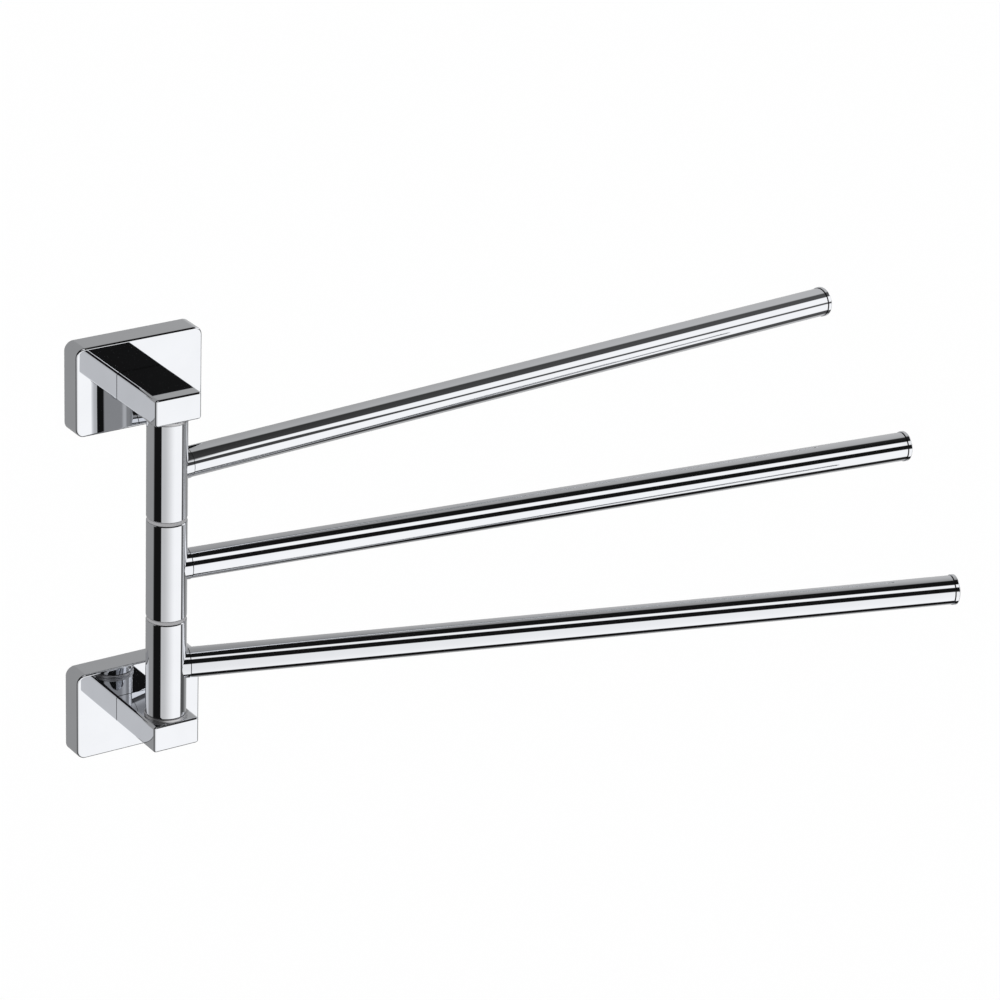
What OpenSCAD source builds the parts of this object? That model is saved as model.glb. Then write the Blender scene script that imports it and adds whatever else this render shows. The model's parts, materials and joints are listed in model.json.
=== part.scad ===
// Swing arm towel bar: two wall brackets hold an upright axle, and three bars
// swing about it, each on a sleeve of its own.
// X runs along the wall, -Y points out of the wall and Z is up. The origin is on
// the wall, in the middle of the four wall screw holes.

/* [Wall plates] */
// Width of a wall plate's shell, along the wall
plate_w = 73; // [62:1:90]
// Height of a wall plate's shell
plate_h = 49; // [40:1:50]
// How far the front of a shell stands off the wall
plate_depth = 13; // [12:0.5:20]
// Radius of a shell's corners, seen from the front
plate_corner_r = 5; // [3:0.5:8]
// Radius of the edge round a shell's front
plate_edge_r = 1.2; // [0.6:0.1:2]
// Thickness of a shell's walls
plate_wall = 2.5; // [1.5:0.1:3]
// Distance between the middles of the two wall plates
bracket_spacing = 184; // [170:1:260]

/* [Mounting plates] */
// Thickness of the mounting plate inside a shell
mount_t = 7; // [5.5:0.5:8]
// Distance between the two wall screws of one bracket
wall_screw_spacing = 44; // [36:1:50]
// Radius of a wall screw's hole
wall_hole_r = 2.6; // [2:0.1:3]
// Radius of the recess for a wall screw's head
wall_head_r = 5; // [4:0.1:6]
// Depth of the recess for a wall screw's head
wall_head_depth = 3; // [1.5:0.5:4]

/* [Arms] */
// Width of an arm, along the wall
arm_w = 26.5; // [22:0.5:34]
// Height of an arm
arm_h = 15; // [14:0.5:20]
// Distance from the wall to an arm's front face
arm_reach = 54.5; // [50:0.5:80]
// Radius of an arm's long edges
arm_corner_r = 1.5; // [0.8:0.1:2.5]
// Radius of the edge round an arm's front face
arm_edge_r = 1.3; // [0.4:0.1:1.3]
// Width of the fine groove round an arm's foot
arm_joint = 0.3; // [0.1:0.05:0.6]
// Depth of that groove
arm_joint_depth = 0.35; // [0.1:0.05:0.6]

/* [Post] */
// Distance from the axle's middle to an arm's front face
post_inset = 12; // [11.5:0.1:14]
// Radius of a sleeve
sleeve_r = 10.7; // [9.5:0.1:12]
// Radius of the bore through a sleeve
sleeve_bore_r = 7.2; // [6:0.1:8]
// Size of the bevel at a sleeve's ends
sleeve_bevel = 0.35; // [0.1:0.05:0.8]
// Radius of the axle
axle_r = 4; // [3.5:0.1:4.5]
// Thickness of a spacer between two sleeves
spacer_t = 2; // [1:0.1:3]
// Thickness of the ring at either end of the post
end_ring_t = 1.5; // [0.8:0.1:2]
// Radius of the ring at either end of the post
end_ring_r = 11.4; // [10:0.1:11.8]
// How far a spacer's rim stays inside a sleeve's face
spacer_inset = 0.3; // [0.1:0.1:1.5]

/* [Bars] */
// Distance from the axle's middle to a bar's tip
bar_reach = 442; // [250:1:600]
// Radius of a bar's tube
tube_r = 8; // [6:0.1:9]
// Thickness of a tube's wall
tube_wall = 1.2; // [0.8:0.1:1.6]
// Length of the collar between a sleeve and a tube
collar_l = 1.3; // [1:0.1:12]
// How far a collar's rim stands proud of the tube
collar_lip = 0.25; // [0.05:0.05:0.4]
// Width of the fine groove between a collar and a tube
collar_groove = 0.5; // [0.1:0.05:0.7]
// Thickness of an end cap's flange
cap_t = 2.2; // [1.5:0.1:4]
// How far a cap's flange stands proud of the tube
cap_lip = 0.4; // [0.1:0.05:0.8]
// Rise of the dome on an end cap
cap_dome = 1; // [0.3:0.1:2]

/* [Rest angles] */
// Swing of the upper bar towards the wall, as shown
upper_angle = 4.2; // [-180:0.1:4.2]
// Swing of the middle bar
middle_angle = -7; // [-180:0.1:4.2]
// Swing of the lower bar
lower_angle = -16.3; // [-180:0.1:4.2]

/* [Fasteners] */
// Radius of a bar's threaded stud
stud_r = 3; // [2:0.1:3.5]
// Radius of an arm screw's shank
arm_screw_r = 2; // [1.5:0.1:2.5]
// Radius of an arm screw's head
arm_screw_head_r = 3.5; // [3:0.1:4]
// Height of an arm screw's head
arm_screw_head_h = 2.2; // [1.5:0.1:2.5]
// Distance between the two screws of an arm
arm_screw_spacing = 13; // [10:0.5:15]
// Length of an arm screw inside the arm
arm_screw_l = 10; // [6:0.5:14]
// Radius of the screw under the axle
axle_screw_r = 2.5; // [2:0.1:2.8]
// Radius of the axle screw's head
axle_screw_head_r = 4.5; // [4:0.1:5]
// Height of the axle screw's head
axle_screw_head_h = 2.8; // [2:0.1:3]
// Thickness of the spring washer under the axle screw's head
spring_washer_t = 1; // [0.6:0.1:1.2]
// Radius of the grub screw that locks a shell
grub_r = 2; // [1.5:0.1:2.5]
// Across the corners of a hex socket, in every screw
hex_r = 1.4; // [1:0.1:1.5]

/* [Hidden] */
$fn = 96;
// Overrun of every cut
over = 1;
// Clearances: between threads, pressed pieces, running pieces and loose holes
thread_gap = 0.05;
press_gap = 0.02;
run_gap = 0.05;
hole_gap = 0.25;
face_gap = 0.1;
// Clearance between a mounting plate and the shell round it
mount_gap = 0.3;
// Depth that the axle goes into an arm
axle_seat = 8;
// Height of the recess under the lower arm for the axle screw
axle_recess = 4.2;
// Radial room round the axle screw's head
head_room = 0.4;
// Length of the axle screw inside the axle
axle_screw_l = 12;
// Length of a bush
bush_l = 14;
// Length of the plug in a tube's near end, and of the stud inside it
plug_l = 20;
plug_stud_l = 13;
// Length of an end cap's stem, and the dark groove behind its flange
cap_stem_l = 9;
cap_groove = 0.6;
cap_groove_depth = 0.6;
cap_round_r = 0.5;
// How far the grub screw's tip goes into the mounting plate
grub_seat = 1.2;
// Depth of a hex socket
hex_depth = 1.3;
// Steps along an end cap's dome
dome_steps = 10;
// Bevel at a bush's and a ring's edges
trim_bevel = 0.2;
// Depth of the groove between a collar and a tube
collar_groove_depth = 0.6;
// Most that the edge round a block's front takes of its corners' radius
edge_share = 0.9;

arm_z = bracket_spacing / 2;
post_offset = arm_reach - post_inset;
post_half = arm_z - arm_h / 2;
sleeve_l = (2 * post_half - 2 * end_ring_t - 2 * spacer_t - 6 * face_gap) / 3;
pitch = sleeve_l + spacer_t + 2 * face_gap;
collar_end = sleeve_r + collar_l;
tube_end = bar_reach - cap_dome - cap_t - cap_groove;
tube_bore_r = tube_r - tube_wall;
axle_top = post_half + axle_seat;
axle_bottom = -post_half - axle_seat;
grub_y = -mount_t / 2;
grub_l = plate_wall + mount_gap + grub_seat;

// Places

// Local Z points out of the wall, local Y up
module from_wall(z) {
    translate([0, 0, z])
        rotate([90, 0, 0])
            children();
}

module on_post(z) {
    translate([0, -post_offset, z])
        children();
}

// Local X runs along the bar
module on_bar(z, angle) {
    on_post(z)
        rotate([0, 0, angle])
            children();
}

module along_x(x) {
    translate([x, 0, 0])
        rotate([0, 90, 0])
            children();
}

// Shapes

// A flat strip's section: square at the base, its two upper corners rounded
module strip_section(width, depth, edge_r) {
    translate([-width / 2, 0])
        square([width, depth - edge_r]);
    translate([edge_r - width / 2, 0])
        square([width - 2 * edge_r, depth]);
    for (side = [-1, 1])
        translate([side * (width / 2 - edge_r), depth - edge_r])
            circle(r = edge_r, $fn = 48);
}

// A block with rounded upright corners and a rounded edge round its top
module soft_block(width, height, depth, corner_r, edge_r) {
    rotate([90, 0, 0])
        linear_extrude(height = height - 2 * corner_r, center = true)
            strip_section(width, depth, edge_r);
    rotate([90, 0, 90])
        linear_extrude(height = width - 2 * corner_r, center = true)
            strip_section(height, depth, edge_r);
    for (x = [-1, 1], y = [-1, 1])
        translate([x * (width / 2 - corner_r), y * (height / 2 - corner_r), 0])
            rotate_extrude()
                intersection() {
                    strip_section(2 * corner_r, depth, edge_r);
                    square([corner_r, depth]);
                }
}

// A plate with rounded corners and square edges
module round_plate(width, height, thickness, corner_r) {
    linear_extrude(height = thickness) {
        square([width - 2 * corner_r, height], center = true);
        square([width, height - 2 * corner_r], center = true);
        for (x = [-1, 1], y = [-1, 1])
            translate([x * (width / 2 - corner_r), y * (height / 2 - corner_r)])
                circle(r = corner_r);
    }
}

// A ring that stands on Z = 0, with a bevel round its outer edges
module ring(outer_r, inner_r, height, bevel) {
    rotate_extrude()
        polygon([
            [inner_r, 0],
            [outer_r - bevel, 0],
            [outer_r, bevel],
            [outer_r, height - bevel],
            [outer_r - bevel, height],
            [inner_r, height]
        ]);
}

module hex_socket(depth) {
    translate([0, 0, -over])
        cylinder(r = hex_r, h = depth + over, $fn = 6);
}

// A screw along +Z: its head ends at Z = 0 and holds the socket
module screw(shank_r, shank_l, head_r, head_h) {
    difference() {
        union() {
            translate([0, 0, -head_h])
                cylinder(r = head_r, h = head_h);
            cylinder(r = shank_r, h = shank_l);
        }
        translate([0, 0, -head_h])
            hex_socket(hex_depth);
    }
}

// Brackets

module arm_screw_places() {
    for (side = [-1, 1])
        translate([side * arm_screw_spacing / 2, 0, 0])
            children();
}

module shell(z) {
    inner_r = plate_corner_r - plate_wall / 2;
    color("gainsboro")
        difference() {
            from_wall(z)
                soft_block(plate_w, plate_h, plate_depth, plate_corner_r, plate_edge_r);
            from_wall(z)
                translate([0, 0, -over])
                    round_plate(
                        plate_w - 2 * plate_wall,
                        plate_h - 2 * plate_wall,
                        plate_depth - plate_wall + over,
                        inner_r
                    );
            from_wall(z)
                arm_screw_places()
                    cylinder(r = arm_screw_r + hole_gap, h = plate_depth + over);
            translate([0, grub_y, z - plate_h / 2 - over])
                cylinder(r = grub_r + thread_gap, h = plate_wall + 2 * over);
        }
}

module mounting_plate(z) {
    edge_gap = plate_wall + mount_gap;
    half_h = plate_h / 2 - edge_gap;
    color("darkgray")
        difference() {
            from_wall(z)
                round_plate(
                    plate_w - 2 * edge_gap,
                    plate_h - 2 * edge_gap,
                    mount_t,
                    plate_corner_r - plate_wall / 2
                );
            for (side = [-1, 1])
                from_wall(z)
                    translate([side * wall_screw_spacing / 2, 0, 0]) {
                        translate([0, 0, -over])
                            cylinder(r = wall_hole_r, h = mount_t + 2 * over);
                        translate([0, 0, mount_t - wall_head_depth])
                            cylinder(r = wall_head_r, h = wall_head_depth + over);
                    }
            translate([0, grub_y, z - half_h - over])
                cylinder(r = grub_r + thread_gap, h = grub_seat + face_gap + over);
        }
}

// It goes up through the bottom of the shell, its tip in the mounting plate
module grub_screw(z) {
    color("silver")
        translate([0, grub_y, z - plate_h / 2])
            difference() {
                cylinder(r = grub_r, h = grub_l);
                hex_socket(hex_depth);
            }
}

// Its foot is a little smaller, which leaves a fine groove where it meets the shell
module arm_block(z) {
    edge_r = min(arm_edge_r, edge_share * arm_corner_r);
    from_wall(z) {
        translate([0, 0, plate_depth])
            round_plate(
                arm_w - 2 * arm_joint_depth,
                arm_h - 2 * arm_joint_depth,
                arm_joint + over,
                arm_corner_r
            );
        translate([0, 0, plate_depth + arm_joint])
            soft_block(arm_w, arm_h, arm_reach - plate_depth - arm_joint, arm_corner_r, edge_r);
    }
}

module arm_screw_holes(z) {
    from_wall(z)
        arm_screw_places()
            translate([0, 0, plate_depth - over])
                cylinder(r = arm_screw_r + thread_gap, h = arm_screw_l + over + face_gap);
}

module arm_screws(z) {
    color("silver")
        from_wall(z)
            arm_screw_places()
                translate([0, 0, plate_depth - plate_wall])
                    screw(arm_screw_r, plate_wall + arm_screw_l, arm_screw_head_r, arm_screw_head_h);
}

module upper_arm() {
    color("gainsboro")
        difference() {
            arm_block(arm_z);
            arm_screw_holes(arm_z);
            on_post(post_half - over)
                cylinder(r = axle_r + press_gap, h = axle_seat + over);
        }
}

module lower_arm() {
    color("gainsboro")
        difference() {
            arm_block(-arm_z);
            arm_screw_holes(-arm_z);
            on_post(axle_bottom)
                cylinder(r = axle_r + press_gap, h = axle_seat + over);
            on_post(-post_half - arm_h - over)
                cylinder(r = axle_screw_head_r + head_room, h = axle_recess + over);
            on_post(-post_half - arm_h)
                cylinder(r = axle_screw_r + hole_gap, h = arm_h - over);
        }
}

module upper_shell() {
    shell(arm_z);
}

module upper_mounting_plate() {
    mounting_plate(arm_z);
}

module upper_grub_screw() {
    grub_screw(arm_z);
}

module upper_arm_screws() {
    arm_screws(arm_z);
}

module lower_shell() {
    shell(-arm_z);
}

module lower_mounting_plate() {
    mounting_plate(-arm_z);
}

module lower_grub_screw() {
    grub_screw(-arm_z);
}

module lower_arm_screws() {
    arm_screws(-arm_z);
}

// Post

module axle() {
    color("silver")
        on_post(axle_bottom)
            difference() {
                cylinder(r = axle_r, h = axle_top - axle_bottom);
                translate([0, 0, -over])
                    cylinder(r = axle_screw_r + thread_gap, h = axle_screw_l + over + face_gap);
            }
}

// The recess's roof carries the spring washer, and that carries the screw's head
recess_roof = -post_half - arm_h + axle_recess;

module spring_washer() {
    color("dimgray")
        on_post(recess_roof - spring_washer_t)
            ring(axle_screw_head_r, axle_screw_r + hole_gap, spring_washer_t, trim_bevel);
}

module axle_screw() {
    head_top = recess_roof - spring_washer_t;
    color("silver")
        on_post(head_top)
            screw(axle_screw_r, axle_bottom + axle_screw_l - head_top, axle_screw_head_r, axle_screw_head_h);
}

module end_ring(z) {
    color("silver")
        on_post(z)
            ring(end_ring_r, axle_r + run_gap, end_ring_t, trim_bevel);
}

module spacer(z) {
    color("dimgray")
        on_post(z)
            ring(sleeve_r - spacer_inset, axle_r + run_gap, spacer_t, trim_bevel);
}

module top_ring() {
    end_ring(post_half - end_ring_t);
}

module upper_spacer() {
    spacer((pitch - spacer_t) / 2);
}

module lower_spacer() {
    spacer(-(pitch + spacer_t) / 2);
}

module bottom_ring() {
    end_ring(-post_half);
}

// Bars, each made along X from the axle's middle

module sleeve(z, angle) {
    color("gainsboro")
        on_bar(z, angle)
            difference() {
                translate([0, 0, -sleeve_l / 2])
                    ring(sleeve_r, sleeve_bore_r, sleeve_l, sleeve_bevel);
                along_x(0)
                    cylinder(r = stud_r + thread_gap, h = sleeve_r + over);
            }
}

module bushes(z, angle) {
    color("ivory")
        on_bar(z, angle)
            for (end = [-sleeve_l / 2, sleeve_l / 2 - bush_l])
                translate([0, 0, end])
                    ring(sleeve_bore_r - press_gap, axle_r + run_gap, bush_l, trim_bevel);
}

module collar(z, angle) {
    color("gainsboro")
        on_bar(z, angle)
            difference() {
                union() {
                    along_x(0)
                        cylinder(r = tube_r + collar_lip, h = collar_end - collar_groove);
                    along_x(0)
                        cylinder(r = tube_r - collar_groove_depth, h = collar_end);
                }
                along_x(0)
                    cylinder(r = stud_r + hole_gap, h = collar_end + over);
                translate([0, 0, -tube_r - collar_lip - over])
                    cylinder(r = sleeve_r + press_gap, h = 2 * (tube_r + collar_lip + over));
            }
}

module stud(z, angle) {
    color("silver")
        on_bar(z, angle)
            along_x(sleeve_bore_r + hole_gap)
                cylinder(r = stud_r, h = collar_end + plug_stud_l - sleeve_bore_r - hole_gap);
}

module plug(z, angle) {
    color("darkgray")
        on_bar(z, angle)
            along_x(collar_end)
                difference() {
                    cylinder(r = tube_bore_r - press_gap, h = plug_l);
                    translate([0, 0, -over])
                        cylinder(r = stud_r + thread_gap, h = plug_stud_l + over + face_gap);
                }
}

module tube(z, angle) {
    color("gainsboro")
        on_bar(z, angle)
            along_x(collar_end)
                difference() {
                    cylinder(r = tube_r, h = tube_end - collar_end);
                    translate([0, 0, -over])
                        cylinder(r = tube_bore_r, h = tube_end - collar_end + 2 * over);
                }
}

// The cap's outline from its stem to the middle of its dome
function dome_point(i, rim_r) =
    [rim_r * cos(90 * i / dome_steps), cap_groove + cap_t + cap_dome * sin(90 * i / dome_steps)];

module cap(z, angle) {
    stem_r = tube_bore_r - press_gap;
    flange_r = tube_r + cap_lip;
    rim_r = flange_r - cap_round_r;
    color("gainsboro")
        on_bar(z, angle)
            along_x(tube_end)
                rotate_extrude() {
                    polygon([
                        [0, -cap_stem_l],
                        [stem_r, -cap_stem_l],
                        [stem_r, 0],
                        [tube_r - cap_groove_depth, 0],
                        [tube_r - cap_groove_depth, cap_groove],
                        [flange_r, cap_groove],
                        [flange_r, cap_groove + cap_t - cap_round_r],
                        [rim_r, cap_groove + cap_t],
                        for (i = [1 : dome_steps]) dome_point(i, rim_r)
                    ]);
                    translate([rim_r, cap_groove + cap_t - cap_round_r])
                        circle(r = cap_round_r, $fn = 32);
                }
}

module upper_sleeve() {
    sleeve(pitch, upper_angle);
}

module upper_bushes() {
    bushes(pitch, upper_angle);
}

module upper_collar() {
    collar(pitch, upper_angle);
}

module upper_stud() {
    stud(pitch, upper_angle);
}

module upper_plug() {
    plug(pitch, upper_angle);
}

module upper_tube() {
    tube(pitch, upper_angle);
}

module upper_cap() {
    cap(pitch, upper_angle);
}

module middle_sleeve() {
    sleeve(0, middle_angle);
}

module middle_bushes() {
    bushes(0, middle_angle);
}

module middle_collar() {
    collar(0, middle_angle);
}

module middle_stud() {
    stud(0, middle_angle);
}

module middle_plug() {
    plug(0, middle_angle);
}

module middle_tube() {
    tube(0, middle_angle);
}

module middle_cap() {
    cap(0, middle_angle);
}

module lower_sleeve() {
    sleeve(-pitch, lower_angle);
}

module lower_bushes() {
    bushes(-pitch, lower_angle);
}

module lower_collar() {
    collar(-pitch, lower_angle);
}

module lower_stud() {
    stud(-pitch, lower_angle);
}

module lower_plug() {
    plug(-pitch, lower_angle);
}

module lower_tube() {
    tube(-pitch, lower_angle);
}

module lower_cap() {
    cap(-pitch, lower_angle);
}

upper_shell();
upper_mounting_plate();
upper_grub_screw();
upper_arm();
upper_arm_screws();
lower_shell();
lower_mounting_plate();
lower_grub_screw();
lower_arm();
lower_arm_screws();
axle();
axle_screw();
spring_washer();
top_ring();
upper_spacer();
lower_spacer();
bottom_ring();
upper_sleeve();
upper_bushes();
upper_collar();
upper_stud();
upper_plug();
upper_tube();
upper_cap();
middle_sleeve();
middle_bushes();
middle_collar();
middle_stud();
middle_plug();
middle_tube();
middle_cap();
lower_sleeve();
lower_bushes();
lower_collar();
lower_stud();
lower_plug();
lower_tube();
lower_cap();
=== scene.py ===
"""Looks for the swing arm towel bar: polished chrome in a white studio."""
import json
import math

import bpy
from mathutils import Matrix, Vector

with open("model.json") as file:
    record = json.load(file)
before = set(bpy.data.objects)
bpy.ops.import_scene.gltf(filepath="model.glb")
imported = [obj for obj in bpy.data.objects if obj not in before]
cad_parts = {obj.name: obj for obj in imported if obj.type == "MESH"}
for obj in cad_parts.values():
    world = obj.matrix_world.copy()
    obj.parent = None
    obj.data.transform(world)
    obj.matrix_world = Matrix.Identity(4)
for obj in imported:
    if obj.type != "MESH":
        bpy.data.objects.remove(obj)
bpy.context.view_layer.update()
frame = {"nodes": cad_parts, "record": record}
nodes = frame["nodes"]

MM = 0.001


# Node helpers

class Graph:
    """A node tree with short calls for the nodes that the materials and the world repeat."""

    def __init__(self, tree):
        self.tree = tree
        tree.nodes.clear()

    def node(self, kind, inputs=(), **settings):
        made = self.tree.nodes.new(kind)
        for name, value in settings.items():
            setattr(made, name, value)
        for name, value in dict(inputs).items():
            self.feed(made.inputs[name], value)
        return made

    def feed(self, socket, value):
        if isinstance(value, bpy.types.NodeSocket):
            self.tree.links.new(value, socket)
        else:
            socket.default_value = value

    def math(self, operation, a, b=0.0):
        made = self.node("ShaderNodeMath", {0: a, 1: b}, operation=operation)
        return made.outputs[0]

    def plus(self, a, b):
        return self.math("ADD", a, b)

    def minus(self, a, b):
        return self.math("SUBTRACT", a, b)

    def times(self, a, b):
        return self.math("MULTIPLY", a, b)

    def smaller(self, a, b):
        return self.math("MINIMUM", a, b)

    def larger(self, a, b):
        return self.math("MAXIMUM", a, b)

    def ramp(self, value, low, high, out_low=0.0, out_high=1.0):
        """A smooth step from out_low at low to out_high at high."""
        made = self.node("ShaderNodeMapRange", {
            "Value": value, "From Min": low, "From Max": high,
            "To Min": out_low, "To Max": out_high}, interpolation_type="SMOOTHSTEP")
        return made.outputs["Result"]

    def rise(self, value, place, blur):
        """0 before place and 1 beyond it, with a blurred edge."""
        return self.ramp(value, place - blur, place + blur)

    def fall(self, value, place, blur):
        """1 before place and 0 beyond it, with a blurred edge."""
        return self.ramp(value, place - blur, place + blur, 1.0, 0.0)

    def blend(self, share, a, b):
        """a where share is 0 and b where it is 1."""
        made = self.node("ShaderNodeMix", {0: share, 2: a, 3: b}, data_type="FLOAT")
        return made.outputs[0]

    def tint(self, share, low, high):
        """A colour between low and high."""
        made = self.node("ShaderNodeMix", data_type="RGBA")
        for place, value in ((0, share), (6, (*low, 1.0)), (7, (*high, 1.0))):
            self.feed(made.inputs[place], value)
        return made.outputs[2]

    def noise(self, scale, detail, stretch=(1.0, 1.0, 1.0)):
        """Noise in the object's own metres, drawn out along an axis by stretch."""
        where = self.node("ShaderNodeTexCoord").outputs["Object"]
        spread = self.node("ShaderNodeMapping", {"Vector": where, "Scale": stretch})
        made = self.node("ShaderNodeTexNoise", {
            "Vector": spread.outputs["Vector"], "Scale": scale, "Detail": detail})
        return made.outputs["Fac"]

    def light(self, strength):
        """White light of this strength."""
        made = self.node("ShaderNodeBackground", {"Color": (1.0, 1.0, 1.0, 1.0),
                                                  "Strength": strength})
        return made.outputs[0]

    def mix(self, share, a, b):
        """Shader a where share is 0 and shader b where it is 1."""
        return self.node("ShaderNodeMixShader", {0: share, 1: a, 2: b}).outputs[0]


# Materials. A noise is given by its scale, in repeats for each metre, and its detail. A
# bump is given by its strength and its depth in metres. A range is the part of a noise
# that a roughness follows.

CHROME_LOW = (0.783, 0.795, 0.822)
CHROME_HIGH = (0.842, 0.855, 0.884)
CHROME_CLOUDS = (55.0, 4.0)
CHROME_HAZE = (160.0, 5.0)
CHROME_HAZE_RANGE = (0.3, 0.8)
CHROME_HAZE_TIMES = 2.0
CHROME_RIPPLE_DETAIL = 0.0
CHROME_RIPPLE_STRENGTH = 0.5

STEEL_MARKS = (900.0, 2.0)
STEEL_MARKS_STRETCH = (0.3, 0.3, 4.0)
STEEL_MARKS_RANGE = (0.2, 0.8)
STEEL_MARKS_SHADE = 0.85
STEEL_SMOOTHER = 0.06
STEEL_ROUGHER = 0.08
STEEL_BUMP = (0.25, 0.00008)

ZINC_LOW = (0.34, 0.34, 0.35)
ZINC_HIGH = (0.50, 0.50, 0.52)
ZINC_GRAIN = (700.0, 6.0)
ZINC_ROUGHNESS = (0.38, 0.55)
ZINC_BUMP = (0.4, 0.0001)

PLASTIC_CLOUDS = (120.0, 3.0)
PLASTIC_GRAIN = (1400.0, 4.0)
PLASTIC_ROUGHER = 0.1
PLASTIC_BUMP = (0.2, 0.00006)

GRAIN_RANGE = (0.3, 0.7)


def new_material(name):
    made = bpy.data.materials.new(name)
    made.use_nodes = True
    return made, Graph(made.node_tree)


def finish_material(graph, base, roughness, height, bump, metallic=1.0):
    """The shader, with bump's strength and depth given to the noise height."""
    strength, depth = bump
    bumped = graph.node("ShaderNodeBump", {
        "Height": height, "Strength": strength, "Distance": depth})
    shader = graph.node("ShaderNodeBsdfPrincipled", {
        "Base Color": base, "Roughness": roughness, "Metallic": metallic,
        "Normal": bumped.outputs["Normal"]})
    out = graph.node("ShaderNodeOutputMaterial")
    graph.feed(out.inputs["Surface"], shader.outputs["BSDF"])


def chrome(name, polish, ripple_scale, ripple_depth):
    """Bright chrome plate: faint cloudiness in the polish and a very shallow ripple."""
    made, graph = new_material(name)
    finish_material(
        graph,
        base=graph.tint(graph.noise(*CHROME_CLOUDS), CHROME_LOW, CHROME_HIGH),
        roughness=graph.ramp(graph.noise(*CHROME_HAZE), *CHROME_HAZE_RANGE,
                             polish, CHROME_HAZE_TIMES * polish),
        height=graph.noise(ripple_scale, CHROME_RIPPLE_DETAIL),
        bump=(CHROME_RIPPLE_STRENGTH, ripple_depth))
    return made


def turned_steel(name, colour, roughness):
    """Turned or rolled steel with fine rings along its length."""
    made, graph = new_material(name)
    marks = graph.noise(*STEEL_MARKS, stretch=STEEL_MARKS_STRETCH)
    shaded = tuple(STEEL_MARKS_SHADE * channel for channel in colour)
    finish_material(
        graph,
        base=graph.tint(marks, shaded, colour),
        roughness=graph.ramp(marks, *STEEL_MARKS_RANGE,
                             roughness - STEEL_SMOOTHER, roughness + STEEL_ROUGHER),
        height=marks, bump=STEEL_BUMP)
    return made


def cast_zinc(name):
    made, graph = new_material(name)
    grain = graph.noise(*ZINC_GRAIN)
    finish_material(
        graph,
        base=graph.tint(grain, ZINC_LOW, ZINC_HIGH),
        roughness=graph.ramp(grain, *GRAIN_RANGE, *ZINC_ROUGHNESS),
        height=grain, bump=ZINC_BUMP)
    return made


def plastic(name, low, high, roughness):
    made, graph = new_material(name)
    grain = graph.noise(*PLASTIC_GRAIN)
    finish_material(
        graph,
        base=graph.tint(graph.noise(*PLASTIC_CLOUDS), low, high),
        roughness=graph.ramp(grain, *GRAIN_RANGE, roughness, roughness + PLASTIC_ROUGHER),
        height=grain, bump=PLASTIC_BUMP, metallic=0.0)
    return made


MATERIALS = {
    "chrome_casting": chrome(
        "chrome_casting", polish=0.012, ripple_scale=16.0, ripple_depth=0.0006),
    "chrome_tube": chrome(
        "chrome_tube", polish=0.014, ripple_scale=38.0, ripple_depth=0.00001),
    "bright_steel": turned_steel("bright_steel", (0.66, 0.66, 0.64), 0.24),
    "satin_steel": turned_steel("satin_steel", (0.62, 0.62, 0.63), 0.34),
    "stainless": turned_steel("stainless", (0.58, 0.58, 0.57), 0.30),
    # painted shade: a near-black colour for the groove faces beside the collars and caps
    "groove_painted_shade": turned_steel("groove_painted_shade", (0.05, 0.05, 0.05), 0.45),
    "zinc": cast_zinc("zinc"),
    "grey_acetal": plastic("grey_acetal", (0.33, 0.33, 0.34), (0.38, 0.38, 0.39), 0.38),
    "nylon": plastic("nylon", (0.80, 0.79, 0.73), (0.86, 0.85, 0.80), 0.40),
}


# Painted shade in the grooves beside the collars and behind the caps' flanges: their faces
# get a near-black colour that stands in for the shade in these narrow gaps. BARS gives each
# bar's angle to the wall in degrees and its height in mm. A face lies in a groove where its
# distance from the axle is one of GROOVE_LENGTHS and its distance from the bar's middle line
# is under GROOVE_RADIUS.

AXLE = Vector((0.0, -42.5, 0.0)) * MM
BARS = {"upper": (4.2, 56.0), "middle": (-7.0, 0.0), "lower": (-16.3, -56.0)}
GROOVE_RADIUS = 7.6 * MM
GROOVE_LENGTHS = {"collar": (11.4 * MM, 12.1 * MM), "cap": (438.0 * MM, 439.0 * MM)}


def paint_groove_shade(mesh, bar, lengths):
    """The faces of a bar's piece that lie in its groove get a near-black colour, painted
    shade for the narrow gap.
    """
    angle, height = BARS[bar]
    along = Vector((math.cos(math.radians(angle)), math.sin(math.radians(angle)), 0.0))
    foot = AXLE + Vector((0.0, 0.0, height * MM))
    mesh.materials.append(MATERIALS["groove_painted_shade"])
    for face in mesh.polygons:
        place = face.center - foot
        length = place.dot(along)
        radius = (place - along * length).length
        if lengths[0] < length < lengths[1] and radius < GROOVE_RADIUS:
            face.material_index = 1


def dress_nodes():
    """Every CAD node gets the material of its slot in the record."""
    for part in frame["record"]["subparts"]:
        mesh = nodes[part["node"]].data
        mesh.materials.clear()
        mesh.materials.append(MATERIALS[part["material_slot"]])
        bar, _, piece = part["node"].partition("_")
        # Faces in the collars' and caps' grooves also get painted shade
        if piece in GROOVE_LENGTHS:
            paint_groove_shade(mesh, bar, GROOVE_LENGTHS[piece])


dress_nodes()


# Studio: what the chrome reflects, by the direction that a reflected ray takes. X is the
# ray's share along the wall to the right, Y its share towards the wall and Z its share
# upwards. Elevations and azimuths are in degrees; azimuth 0 is straight out of the wall
# and 90 is along the wall to the right.

BACKGROUND = 1.0
FILL = 1.06

# The white cards are dimmer to the left, by azimuth
CARDS_LEFT = 0.60
CARDS_RIGHT = 1.10
CARDS_LEFT_AZIMUTH = -48.0
CARDS_RIGHT_AZIMUTH = 22.0

# The dark surround is less dark to the right, by X
DARK_LEFT = 0.008
DARK_RIGHT = 0.10
DARK_CHANGE = (0.42, 0.72)

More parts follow.
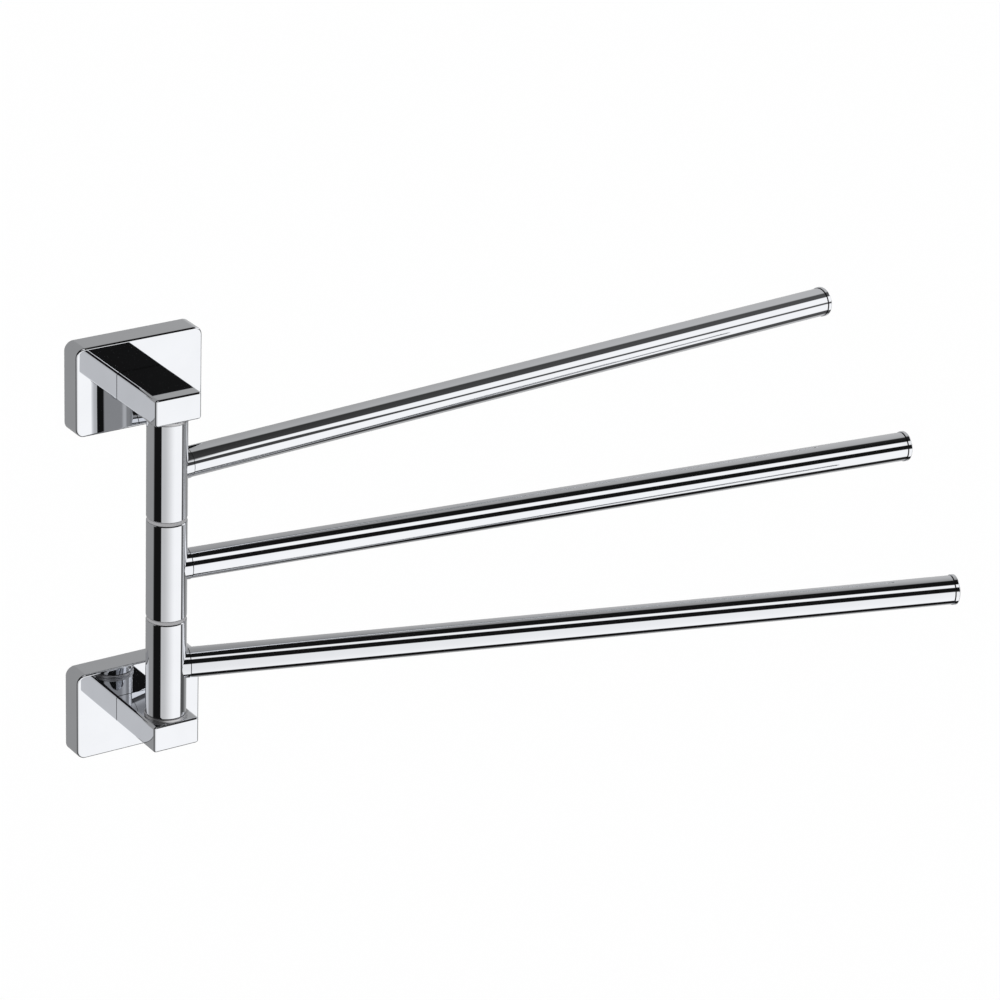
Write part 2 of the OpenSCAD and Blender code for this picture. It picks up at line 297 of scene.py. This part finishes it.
# The grey behind the wall's plane starts at this Y, sooner for rays to the right and
# later for steep rays down. It has three shades, by X.
BACK_START = 0.14
BACK_BLUR = 0.08
BACK_LEAN = 0.12
BACK_DROP = 0.25
BACK_DROP_FROM = 0.4
BACK_LEFT = 0.32
BACK_RIGHT = 0.55
BACK_FAR_RIGHT = 0.30
BACK_LEFT_CHANGE = (0.35, 0.62)
BACK_RIGHT_CHANGE = (0.70, 0.84)

# The white table in front reaches up to an elevation that rises to the left, and back to
# an edge at this Y, which is nearer at both sides, by X
TABLE_TOP = -3.0
TABLE_TOP_RISE = 0.6
TABLE_TOP_AZIMUTH = 20.0
TABLE_TOP_LIMIT = 12.5
TABLE_TOP_BLUR = 2.0
TABLE_EDGE = -0.36
TABLE_EDGE_SIDES = -0.47
TABLE_EDGE_LEFT = (-0.6, -0.2)
TABLE_EDGE_RIGHT = (0.68, 0.84)

# The strip light above it starts at an elevation that falls to the right and ends at this
# Y. It has a left and a right length, which change over in a dark gap. The gap's left side
# leans with Y.
STRIP_LOW = 45.0
STRIP_LOW_FALL = 0.8
STRIP_LOW_LIMIT = 52.0
STRIP_LOW_BLUR = 1.5
STRIP_END = -0.53
STRIP_CHANGE = 0.49
STRIP_GAP_LEFT = 0.500
STRIP_GAP_LEFT_BLUR = 0.005
STRIP_GAP_LEAN = 0.123
STRIP_GAP_RIGHT = 0.560
STRIP_GAP_RIGHT_BLUR = 0.006

# The right length starts lower further to the right, and ends further back there
RIGHT_STRIP_LOW = (17.0, 7.5)
RIGHT_STRIP_LOW_CHANGE = (0.575, 0.615)
RIGHT_STRIP_END = -0.60
RIGHT_STRIP_END_X = 0.58
RIGHT_STRIP_END_TURN = 2.2

# How blurred the table's edge and the strip's end are
EDGE_BLUR = 0.03


def backdrop(graph, axes):
    """Where the grey behind the wall's plane is, and its shade."""
    sunk = graph.larger(graph.minus(graph.times(axes["Z"], -1.0), BACK_DROP_FROM), 0.0)
    lean = graph.minus(graph.times(axes["X"], BACK_LEAN), graph.times(sunk, BACK_DROP))
    behind = graph.rise(graph.plus(axes["Y"], lean), BACK_START, BACK_BLUR)
    grey = graph.smaller(
        graph.ramp(axes["X"], *BACK_LEFT_CHANGE, BACK_LEFT, BACK_RIGHT),
        graph.ramp(axes["X"], *BACK_RIGHT_CHANGE, BACK_RIGHT, BACK_FAR_RIGHT))
    return behind, grey


def white_table(graph, axes, elevation, azimuth):
    turned = graph.larger(graph.minus(TABLE_TOP_AZIMUTH, azimuth), 0.0)
    top = graph.plus(graph.times(turned, TABLE_TOP_RISE), TABLE_TOP)
    top = graph.smaller(top, TABLE_TOP_LIMIT)
    under = graph.fall(graph.minus(elevation, top), 0.0, TABLE_TOP_BLUR)
    edge = graph.smaller(
        graph.ramp(axes["X"], *TABLE_EDGE_LEFT, TABLE_EDGE_SIDES, TABLE_EDGE),
        graph.ramp(axes["X"], *TABLE_EDGE_RIGHT, TABLE_EDGE, TABLE_EDGE_SIDES))
    return graph.times(under, graph.fall(graph.minus(axes["Y"], edge), 0.0, EDGE_BLUR))


def strip_light(graph, axes, elevation, azimuth):
    on_right = graph.math("GREATER_THAN", axes["X"], STRIP_CHANGE)
    low = graph.minus(STRIP_LOW, graph.times(azimuth, STRIP_LOW_FALL))
    low = graph.blend(on_right, graph.smaller(low, STRIP_LOW_LIMIT),
                      graph.ramp(axes["X"], *RIGHT_STRIP_LOW_CHANGE, *RIGHT_STRIP_LOW))
    over = graph.rise(graph.minus(elevation, low), 0.0, STRIP_LOW_BLUR)
    turn = graph.times(graph.minus(axes["X"], RIGHT_STRIP_END_X), RIGHT_STRIP_END_TURN)
    end = graph.blend(on_right, STRIP_END, graph.plus(turn, RIGHT_STRIP_END))
    reach = graph.fall(graph.minus(axes["Y"], end), 0.0, EDGE_BLUR)
    leaning = graph.minus(axes["X"], graph.times(axes["Y"], STRIP_GAP_LEAN))
    gap = graph.times(graph.rise(leaning, STRIP_GAP_LEFT, STRIP_GAP_LEFT_BLUR),
                      graph.fall(axes["X"], STRIP_GAP_RIGHT, STRIP_GAP_RIGHT_BLUR))
    return graph.times(graph.times(over, reach), graph.minus(1.0, gap))


def make_world():
    world = bpy.data.worlds.new("studio")
    world.use_nodes = True
    bpy.context.scene.world = world
    graph = Graph(world.node_tree)
    direction = graph.node("ShaderNodeTexCoord").outputs["Generated"]
    axes = graph.node("ShaderNodeSeparateXYZ", {"Vector": direction}).outputs
    outwards = graph.times(axes["Y"], -1.0)
    elevation = graph.times(graph.math("ARCSINE", axes["Z"]), math.degrees(1))
    azimuth = graph.times(graph.math("ARCTAN2", axes["X"], outwards), math.degrees(1))

    behind, grey = backdrop(graph, axes)
    dark = graph.ramp(axes["X"], *DARK_CHANGE, DARK_LEFT, DARK_RIGHT)
    cards = graph.larger(white_table(graph, axes, elevation, azimuth),
                         strip_light(graph, axes, elevation, azimuth))
    white = graph.ramp(azimuth, CARDS_LEFT_AZIMUTH, CARDS_RIGHT_AZIMUTH,
                       CARDS_LEFT, CARDS_RIGHT)
    studio = graph.blend(cards, graph.blend(behind, dark, grey), white)

    rays = graph.node("ShaderNodeLightPath").outputs
    by_gloss = graph.mix(rays["Is Glossy Ray"], graph.light(FILL), graph.light(studio))
    by_camera = graph.mix(rays["Is Camera Ray"], by_gloss, graph.light(BACKGROUND))
    graph.feed(graph.node("ShaderNodeOutputWorld").inputs["Surface"], by_camera)


make_world()


# Floor, a room's height below the bars; from below it can be seen through

FLOOR_DROP = 1.4
FLOOR_HALF = 15.0
FLOOR_CORNERS = ((-1, -1), (1, -1), (1, 1), (-1, 1))
FLOOR_COLOUR = (0.94, 0.94, 0.94, 1.0)


def make_floor():
    corners = [(x * FLOOR_HALF, y * FLOOR_HALF, -FLOOR_DROP) for x, y in FLOOR_CORNERS]
    mesh = bpy.data.meshes.new("floor")
    mesh.from_pydata(corners, [], [tuple(range(len(corners)))])
    floor = bpy.data.objects.new("floor", mesh)
    bpy.context.scene.collection.objects.link(floor)
    made, graph = new_material("pale_floor")
    matt = graph.node("ShaderNodeBsdfDiffuse", {"Color": FLOOR_COLOUR}).outputs[0]
    clear = graph.node("ShaderNodeBsdfTransparent").outputs[0]
    underside = graph.node("ShaderNodeNewGeometry").outputs["Backfacing"]
    sides = graph.mix(underside, matt, clear)
    graph.feed(graph.node("ShaderNodeOutputMaterial").inputs["Surface"], sides)
    mesh.materials.append(made)
    floor.visible_glossy = False


make_floor()


# Camera, at the photograph's angle. Angles are in degrees.

CAMERA_AZIMUTH = -33.625
CAMERA_ELEVATION = 23.882
CAMERA_ROLL = 2.250
CAMERA_DISTANCE = 2358.870 * MM
CAMERA_TARGET = Vector((199.516, -50.0, -1.239)) * MM
CAMERA_NEAR = 0.05
CAMERA_FAR = 20.0
SENSOR_WIDTH = 36.0
FOCAL_PIXELS = 4393.107
PHOTO_PIXELS = 1000.0


def make_camera():
    azimuth = math.radians(CAMERA_AZIMUTH)
    elevation = math.radians(CAMERA_ELEVATION)
    roll = math.radians(CAMERA_ROLL)
    level = math.cos(elevation)
    back = Vector((math.sin(azimuth) * level, -math.cos(azimuth) * level,
                   math.sin(elevation)))
    right = Vector((math.cos(azimuth), math.sin(azimuth), 0.0))
    up = back.cross(right)
    tilted_right = right * math.cos(roll) + up * math.sin(roll)
    tilted_up = up * math.cos(roll) - right * math.sin(roll)
    turn = Matrix((tilted_right, tilted_up, back)).transposed().to_4x4()
    data = bpy.data.cameras.new("camera")
    data.sensor_width = SENSOR_WIDTH
    data.lens = SENSOR_WIDTH * FOCAL_PIXELS / PHOTO_PIXELS
    data.clip_start = CAMERA_NEAR
    data.clip_end = CAMERA_FAR
    camera = bpy.data.objects.new("camera", data)
    camera.matrix_world = Matrix.Translation(CAMERA_TARGET + back * CAMERA_DISTANCE) @ turn
    bpy.context.scene.collection.objects.link(camera)
    bpy.context.scene.camera = camera


make_camera()
bpy.context.scene.view_settings.view_transform = "Standard"


def write_size():
    bpy.context.view_layer.update()


write_size()
